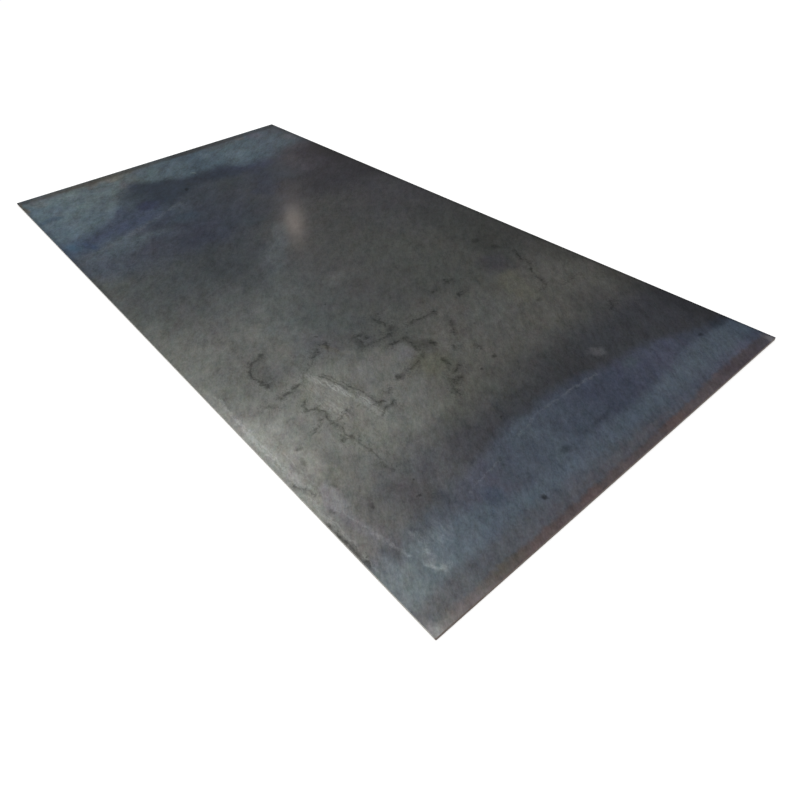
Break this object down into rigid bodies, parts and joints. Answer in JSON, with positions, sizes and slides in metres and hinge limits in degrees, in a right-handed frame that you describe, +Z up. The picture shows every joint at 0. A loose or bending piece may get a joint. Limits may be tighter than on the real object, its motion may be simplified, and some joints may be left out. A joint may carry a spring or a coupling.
{
  "type": "steel plate",
  "caption": "Flat rectangular hot-rolled steel plate with dark mill scale, heat-tinted bands at both ends and sheared edges, used as raw stock for cutting and forming.",
  "frame": {"origin": "centre of the underside", "axes": "+X along the length, towards the end that was sheared from below; +Y across the width; +Z up through the thickness"},
  "size_m": [2.5, 1.25, 0.008],
  "materials": {
    "mill_scale": "satin"
  },
  "bodies": {
    "root": {"steel_plate": "mill_scale"}
  },
  "joints": []
}
